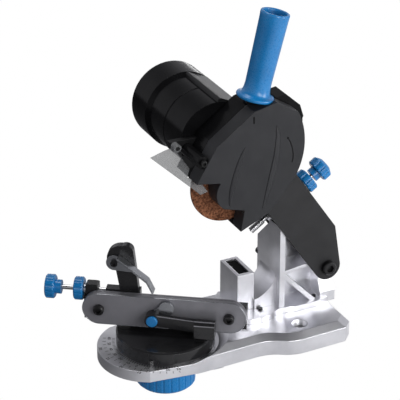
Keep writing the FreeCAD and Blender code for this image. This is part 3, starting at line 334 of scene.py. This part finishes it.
def foldRows(spec):
    # Cross-sections along a fold: a sharp heel, a ridge and a long shoulder, thin at both ends.
    rows = []
    sunkY = cover["faceY"] + cover["sunk"]
    points = [Vector((x, 0, z)) for x, z in spec["line"]]
    for i in range(foldShape["steps"] + 1):
        t = i / foldShape["steps"] * (len(points) - 1)
        k = min(int(t), len(points) - 2)
        at = points[k].lerp(points[k + 1], t - k)
        wave = math.sin(math.pi * i / foldShape["steps"]) ** foldShape["swellPower"]
        swell = foldShape["endSwell"] + (1 - foldShape["endSwell"]) * wave
        reach = spec["side"] * spec["wide"] * swell
        rise = spec["height"] * swell
        rows.append([(at.x - spec["side"] * foldShape["heel"], sunkY, at.z),
                     (at.x, cover["faceY"] - rise, at.z),
                     (at.x + reach * foldShape["shoulderAt"],
                      cover["faceY"] - rise * foldShape["shoulderRise"], at.z),
                     (at.x + reach, sunkY, at.z)])
    return rows


# Cross-sections of a dark painted-shade strip, standing a little proud of the cover
def grooveShadeRows(spec):
    sunkY = cover["faceY"] + cover["sunk"]
    proudY = cover["faceY"] - cover["grooveShadeProud"]
    top = spec["half"] * cover["grooveShadeTop"]
    return [[(x - spec["half"], sunkY, z), (x - top, proudY, z), (x + top, proudY, z),
             (x + spec["half"], sunkY, z)] for x, z in spec["line"]]


for spec in folds:
    newPiece(spec["name"], ribbonMesh(spec["name"], foldRows(spec)), "head", "cover_grey")
for spec in grooveShades:
    newPiece(spec["name"], ribbonMesh(spec["name"], grooveShadeRows(spec)), "head", "belt_rubber")
shape = bmesh.new()
for x, z in dimpleShades["places"]:
    place = Matrix.Translation((x, cover["faceY"], z)) @ Matrix.Rotation(math.pi / 2, 4, "X")
    bmesh.ops.create_cone(shape, cap_ends=True, segments=dimpleShades["sides"], radius1=dimpleShades["radius"],
                          radius2=dimpleShades["radius"] * dimpleShades["taper"], depth=dimpleShades["depth"],
                          matrix=place)
newPiece("coverDimpleShades", meshOf("coverDimpleShades", shape), "head", "belt_rubber")
print("cover relief done")

# Painted highlight: a bright steel bead round the front jaw's edge, in the turned vise's own measures
jawHighlight = {"half": 0.083, "radius": 0.0211, "midZ": 0.061, "y": -0.01205, "bead": 0.0006,
           "steps": 96, "sides": 6}


def jawHighlightRows():
    rows = []
    for i in range(jawHighlight["steps"] + 1):
        angle = math.tau * i / jawHighlight["steps"]
        end = jawHighlight["half"] if math.cos(angle) >= 0 else -jawHighlight["half"]
        row = []
        for turn in range(jawHighlight["sides"]):
            bead = math.tau * turn / jawHighlight["sides"]
            out = jawHighlight["radius"] + jawHighlight["bead"] * math.cos(bead)
            row.append((end + out * math.cos(angle), jawHighlight["y"] + jawHighlight["bead"] * math.sin(bead),
                        jawHighlight["midZ"] + out * math.sin(angle)))
        rows.append(row)
    return rows


mesh = ribbonMesh("jawHighlightBead", jawHighlightRows())
mesh.transform(onVise)
newPiece("jawHighlightBead", mesh, "jaw", "bright_steel")
print("jaw edge done")

# Painted highlights: bright beads along the clamping lever's edges, in the turned vise's own measures
leverHighlights = {"bead": 0.0007, "sides": 10, "lines": [
    [(-0.0060, -0.0246, 0.0634), (0.0410, -0.0246, 0.0598)],
    [(0.0412, -0.0316, 0.0575), (0.0668, -0.0316, 0.0575)],
    [(0.0412, -0.0276, 0.0615), (0.0668, -0.0276, 0.0615)]]}
shape = bmesh.new()
for start, end in leverHighlights["lines"]:
    along = Vector(end) - Vector(start)
    place = (Matrix.Translation((Vector(start) + Vector(end)) / 2)
             @ along.to_track_quat("Z", "Y").to_matrix().to_4x4())
    bmesh.ops.create_cone(shape, cap_ends=True, segments=leverHighlights["sides"],
                          radius1=leverHighlights["bead"], radius2=leverHighlights["bead"],
                          depth=along.length, matrix=place)
mesh = meshOf("leverHighlightBeads", shape)
mesh.transform(onVise)
newPiece("leverHighlightBeads", mesh, "lever", "jaw_grey")

# Rings repeated along an axis: motor seams and the depth screw's threaded end
motorSeam = {"name": "barrelSeam", "count": 2, "pitch": 0.0016, "radius": 0.0483, "thick": 0.0007,
             "sides": 128, "foot": (-0.079, 0.078, 0.270), "turn": (-math.pi / 2, "X"), "start": 0.0,
             "finish": "gloss_black", "body": "head"}
depthThread = {"name": "depthThread", "count": 18, "pitch": 0.0011, "radius": 0.0044,
               "thick": 0.0007, "sides": 32, "foot": (0.00015, 0.01, 0.16461),
               "turn": (math.radians(55.7), "Y"), "start": -0.0450,
               "finish": "plain_steel", "body": "depth_rod"}
depthCore = {"turns": 32, "profile": [(0.0, 0.0), (0.0036, 0.0), (0.0039, 0.0004),
                                      (0.0039, 0.0200), (0.0, 0.0200)]}


def placeAlong(row):
    angle, axis = row["turn"]
    return (Matrix.Translation(row["foot"]) @ Matrix.Rotation(angle, 4, axis)
            @ Matrix.Translation((0, 0, row["start"])))


def makeRingsTree():
    tree = bpy.data.node_groups.new("ringRow", "GeometryNodeTree")
    start, end = addSockets(tree,
                            [("Count", "NodeSocketInt", 10), ("Pitch", "NodeSocketFloat", 0.001),
                             ("Radius", "NodeSocketFloat", 0.004), ("Thick", "NodeSocketFloat", 0.0006),
                             ("Sides", "NodeSocketInt", 32), ("Finish", "NodeSocketMaterial", None)],
                            [("Geometry", "NodeSocketGeometry")])
    points = addNode(tree, "GeometryNodePoints")
    index = addNode(tree, "GeometryNodeInputIndex")
    along = addNode(tree, "ShaderNodeMath", operation="MULTIPLY")
    place = addNode(tree, "ShaderNodeCombineXYZ")
    link(tree, start.outputs["Count"], points.inputs["Count"])
    link(tree, index.outputs[0], along.inputs[0])
    link(tree, start.outputs["Pitch"], along.inputs[1])
    link(tree, along.outputs[0], place.inputs["Z"])
    link(tree, place.outputs[0], points.inputs["Position"])
    disc = addNode(tree, "GeometryNodeMeshCylinder")
    link(tree, start.outputs["Sides"], disc.inputs["Vertices"])
    link(tree, start.outputs["Radius"], disc.inputs["Radius"])
    link(tree, start.outputs["Thick"], disc.inputs["Depth"])
    copies = addNode(tree, "GeometryNodeInstanceOnPoints")
    link(tree, points.outputs[0], copies.inputs["Points"])
    link(tree, disc.outputs["Mesh"], copies.inputs["Instance"])
    finishTree(tree, copies, start, end)
    return tree


ringsTree = makeRingsTree()
for row in (motorSeam, depthThread):
    mesh = grownMesh(row["name"], ringsTree,
                     {"Count": row["count"], "Pitch": row["pitch"], "Radius": row["radius"],
                      "Thick": row["thick"], "Sides": row["sides"], "Finish": materials[row["finish"]]})
    mesh.transform(placeAlong(row))
    newPiece(row["name"], mesh, row["body"], row["finish"])
mesh = turnedMesh("depthCore", depthCore["profile"], depthCore["turns"])
mesh.transform(placeAlong(depthThread))
newPiece("depthCore", mesh, depthThread["body"], depthThread["finish"])
print("rings done")

# Degree marks: two rows of fine bars round the turntable, set out with Geometry Nodes
scale = {"start": math.radians(150), "sweep": math.radians(108), "thick": 0.0003,
         "finish": "black_oxide"}
markRows = [
    {"name": "scaleMarksInner", "radius": 0.0665, "count": 37, "length": 0.0035, "wide": 0.0005},
    {"name": "scaleMarksOuter", "radius": 0.0782, "count": 19, "length": 0.0042, "wide": 0.0006},
]


def makeMarksTree():
    tree = bpy.data.node_groups.new("scaleMarks", "GeometryNodeTree")
    start, end = addSockets(tree,
                            [("Count", "NodeSocketInt", 10), ("Radius", "NodeSocketFloat", 0.07),
                             ("Length", "NodeSocketFloat", 0.004), ("Wide", "NodeSocketFloat", 0.0005),
                             ("Finish", "NodeSocketMaterial", None)],
                            [("Geometry", "NodeSocketGeometry")])
    points = addNode(tree, "GeometryNodePoints")
    index = addNode(tree, "GeometryNodeInputIndex")
    last = addNode(tree, "ShaderNodeMath", {1: 1.0}, operation="SUBTRACT")
    share = addNode(tree, "ShaderNodeMath", operation="DIVIDE")
    angle = addNode(tree, "ShaderNodeMath", {1: scale["sweep"], 2: scale["start"]},
                    operation="MULTIPLY_ADD")
    link(tree, start.outputs["Count"], points.inputs["Count"])
    link(tree, start.outputs["Count"], last.inputs[0])
    link(tree, index.outputs[0], share.inputs[0])
    link(tree, last.outputs[0], share.inputs[1])
    link(tree, share.outputs[0], angle.inputs[0])
    place = addNode(tree, "ShaderNodeCombineXYZ", {"Z": turntable["noseTopZ"]})
    for axis, operation in (("X", "COSINE"), ("Y", "SINE")):
        wave = addNode(tree, "ShaderNodeMath", operation=operation)
        reach = addNode(tree, "ShaderNodeMath", operation="MULTIPLY")
        link(tree, angle.outputs[0], wave.inputs[0])
        link(tree, wave.outputs[0], reach.inputs[0])
        link(tree, start.outputs["Radius"], reach.inputs[1])
        link(tree, reach.outputs[0], place.inputs[axis])
    link(tree, place.outputs[0], points.inputs["Position"])
    size = addNode(tree, "ShaderNodeCombineXYZ", {"Z": scale["thick"]})
    link(tree, start.outputs["Length"], size.inputs["X"])
    link(tree, start.outputs["Wide"], size.inputs["Y"])
    bar = addNode(tree, "GeometryNodeMeshCube")
    link(tree, size.outputs[0], bar.inputs["Size"])
    turnTo = addNode(tree, "ShaderNodeCombineXYZ")
    link(tree, angle.outputs[0], turnTo.inputs["Z"])
    copies = addNode(tree, "GeometryNodeInstanceOnPoints")
    link(tree, points.outputs[0], copies.inputs["Points"])
    link(tree, bar.outputs["Mesh"], copies.inputs["Instance"])
    link(tree, turnTo.outputs[0], copies.inputs["Rotation"])
    finishTree(tree, copies, start, end)
    return tree


marksTree = makeMarksTree()
for row in markRows:
    mesh = grownMesh(row["name"], marksTree,
                     {"Count": row["count"], "Radius": row["radius"], "Length": row["length"],
                      "Wide": row["wide"], "Finish": materials[scale["finish"]]})
    mesh.transform(onTable)
    newPiece(row["name"], mesh, "base", scale["finish"])

# Degree numbers beside the marks; the outer row keeps to the part of the nose that is wide enough
numberRows = [
    {"name": "scaleNumbersInner", "radius": 0.0722, "size": 0.0062,
     "from": math.radians(0), "to": math.radians(360),
     "words": ["60", "50", "40", "30", "20", "10", "0", "10", "20", "30", "35"]},
    {"name": "scaleNumbersOuter", "radius": 0.0845, "size": 0.0058,
     "from": math.radians(160), "to": math.radians(236),
     "words": ["35", "30", "25", "20", "15", "10", "5"]},
]


def textMesh(word, size):
    curve = bpy.data.curves.new("word", "FONT")
    curve.body = word
    curve.size = size
    curve.align_x = "CENTER"
    curve.align_y = "CENTER"
    curve.extrude = scale["thick"] / 2
    curve.resolution_u = 2
    holder = bpy.data.objects.new("word", curve)
    bpy.context.scene.collection.objects.link(holder)
    mesh = plainCopy(holder)
    bpy.data.objects.remove(holder)
    bpy.data.curves.remove(curve)
    return mesh


for row in numberRows:
    shape = bmesh.new()
    for i, word in enumerate(row["words"]):
        angle = scale["start"] + scale["sweep"] * i / (len(row["words"]) - 1)
        if not row["from"] < angle < row["to"]:
            continue
        part = textMesh(word, row["size"])
        place = Matrix.Translation((turntable["x"] + row["radius"] * math.cos(angle),
                                    row["radius"] * math.sin(angle), turntable["noseTopZ"]))
        part.transform(place @ Matrix.Rotation(angle + math.pi / 2, 4, "Z"))
        shape.from_mesh(part)
        bpy.data.meshes.remove(part)
    newPiece(row["name"], meshOf(row["name"], shape), "base", scale["finish"])
print("scale done")

# Studio: a white backdrop for the camera, and a tent that is bright low down and darker overhead
tent = {"low": (0.60, 0.60, 0.63), "high": (0.06, 0.06, 0.065), "horizon": 0.35, "overhead": 0.75,
        "strength": 1.0}
white = (1, 1, 1, 1)


def makeWorld():
    world = bpy.data.worlds.new("studioWorld")
    bpy.context.scene.world = world
    world.use_nodes = True
    tree = world.node_tree
    tree.nodes.clear()
    out = addNode(tree, "ShaderNodeOutputWorld")
    rays = addNode(tree, "ShaderNodeLightPath")
    backdrop = addNode(tree, "ShaderNodeBackground", {"Color": white})
    soft = addNode(tree, "ShaderNodeBackground", {"Strength": tent["strength"]})
    direction = addNode(tree, "ShaderNodeTexCoord")
    split = addNode(tree, "ShaderNodeSeparateXYZ")
    link(tree, direction.outputs["Generated"], split.inputs[0])
    height = addNode(tree, "ShaderNodeMapRange",
                     {"From Min": tent["horizon"], "From Max": tent["overhead"]},
                     interpolation_type="SMOOTHSTEP")
    link(tree, split.outputs["Z"], height.inputs["Value"])
    dome = addNode(tree, "ShaderNodeMix", {"A": (*tent["low"], 1), "B": (*tent["high"], 1)},
                   data_type="RGBA")
    link(tree, height.outputs["Result"], dome.inputs["Factor"])
    link(tree, dome.outputs["Result"], soft.inputs["Color"])
    pick = addNode(tree, "ShaderNodeMixShader")
    link(tree, rays.outputs["Is Camera Ray"], pick.inputs[0])
    link(tree, soft.outputs[0], pick.inputs[1])
    link(tree, backdrop.outputs[0], pick.inputs[2])
    link(tree, pick.outputs[0], out.inputs["Surface"])


makeWorld()

# Floor under the clamp knob; its far left side is greyer, which gives the castings dark flanks
floorPlan = {"z": -0.0435, "half": 6.0, "pale": (0.88, 0.88, 0.89), "grey": (0.10, 0.10, 0.105),
             "rough": 0.7, "towardsGrey": (-0.85, 0.53, 0.0), "greyFrom": 0.05, "greyTo": 0.35}


def makeFloor():
    half = floorPlan["half"]
    mesh = bpy.data.meshes.new("studioFloor")
    corners = [(-half, -half), (half, -half), (half, half), (-half, half)]
    mesh.from_pydata([(x, y, floorPlan["z"]) for x, y in corners], [], [(0, 1, 2, 3)])
    floor = bpy.data.objects.new("studioFloor", mesh)
    bpy.context.scene.collection.objects.link(floor)
    material = bpy.data.materials.new("studioFloor")
    material.use_nodes = True
    tree = material.node_tree
    tree.nodes.clear()
    out = addNode(tree, "ShaderNodeOutputMaterial")
    rays = addNode(tree, "ShaderNodeLightPath")
    pick = addNode(tree, "ShaderNodeMixShader")
    glow = addNode(tree, "ShaderNodeEmission", {"Color": white})
    paint = addNode(tree, "ShaderNodeBsdfPrincipled", {"Roughness": floorPlan["rough"]})
    place = addNode(tree, "ShaderNodeTexCoord")
    along = addNode(tree, "ShaderNodeVectorMath", {1: floorPlan["towardsGrey"]},
                    operation="DOT_PRODUCT")
    link(tree, place.outputs["Object"], along.inputs[0])
    shade = addNode(tree, "ShaderNodeMapRange",
                    {"From Min": floorPlan["greyFrom"], "From Max": floorPlan["greyTo"]},
                    interpolation_type="SMOOTHSTEP")
    link(tree, along.outputs["Value"], shade.inputs["Value"])
    tone = addNode(tree, "ShaderNodeMix", {"A": (*floorPlan["pale"], 1), "B": (*floorPlan["grey"], 1)},
                   data_type="RGBA")
    link(tree, shade.outputs["Result"], tone.inputs["Factor"])
    link(tree, tone.outputs["Result"], paint.inputs["Base Color"])
    link(tree, rays.outputs["Is Camera Ray"], pick.inputs[0])
    link(tree, paint.outputs[0], pick.inputs[1])
    link(tree, glow.outputs[0], pick.inputs[2])
    link(tree, pick.outputs[0], out.inputs["Surface"])
    mesh.materials.append(material)


makeFloor()

# Soft boxes, all aimed at the middle of the machine; sizes in metres, power in watts
lamps = {"aim": (-0.05, 0.02, 0.2), "boxes": [
    {"name": "topBox", "place": (-0.1, 0.5, 1.8), "size": (0.9, 0.7), "power": 12.0},
    {"name": "rightBox", "place": (1.5, -1.4, 0.6), "size": (0.8, 1.2), "power": 22.0},
    {"name": "frontBox", "place": (0.2, -2.2, 0.9), "size": (1.2, 0.8), "power": 20.0},
    {"name": "rimBox", "place": (0.75, 1.7, 0.16), "size": (0.9, 0.12), "power": 1.6}]}
for box in lamps["boxes"]:
    data = bpy.data.lights.new(box["name"], "AREA")
    data.shape = "RECTANGLE"
    data.size, data.size_y = box["size"]
    data.energy = box["power"]
    lamp = bpy.data.objects.new(box["name"], data)
    bpy.context.scene.collection.objects.link(lamp)
    lamp.location = box["place"]
    lamp.rotation_mode = "QUATERNION"
    lamp.rotation_quaternion = (Vector(lamps["aim"]) - Vector(box["place"])).to_track_quat("-Z", "Y")
print("studio set")

# Camera fitted to the photograph: its axes, and its place along them from the scale nose's top
view = {"right": Vector((0.8988, -0.4384, 0.0)), "up": Vector((0.197, 0.404, 0.893)),
        "back": Vector((-0.3916, -0.8030, 0.4493)),
        "anchor": Vector((turntable["x"], 0, turntable["noseTopZ"])),
        "shift": (0.0438, 0.1792, 2.5478), "lens": 180.0, "sensor": 36.0, "clip": 50.0}
cameraData = bpy.data.cameras.new("photoCamera")
cameraData.sensor_width = view["sensor"]
cameraData.lens = view["lens"]
cameraData.clip_end = view["clip"]
camera = bpy.data.objects.new("photoCamera", cameraData)
bpy.context.scene.collection.objects.link(camera)
turn = Matrix((view["right"], view["up"], view["back"])).transposed()
camera.rotation_mode = "QUATERNION"
camera.rotation_quaternion = turn.to_quaternion()
camera.location = (view["anchor"] + view["right"] * view["shift"][0]
                   + view["up"] * view["shift"][1] + view["back"] * view["shift"][2])
bpy.context.scene.camera = camera
bpy.context.scene.view_settings.view_transform = "Standard"
print("camera set")

print("pieces done")
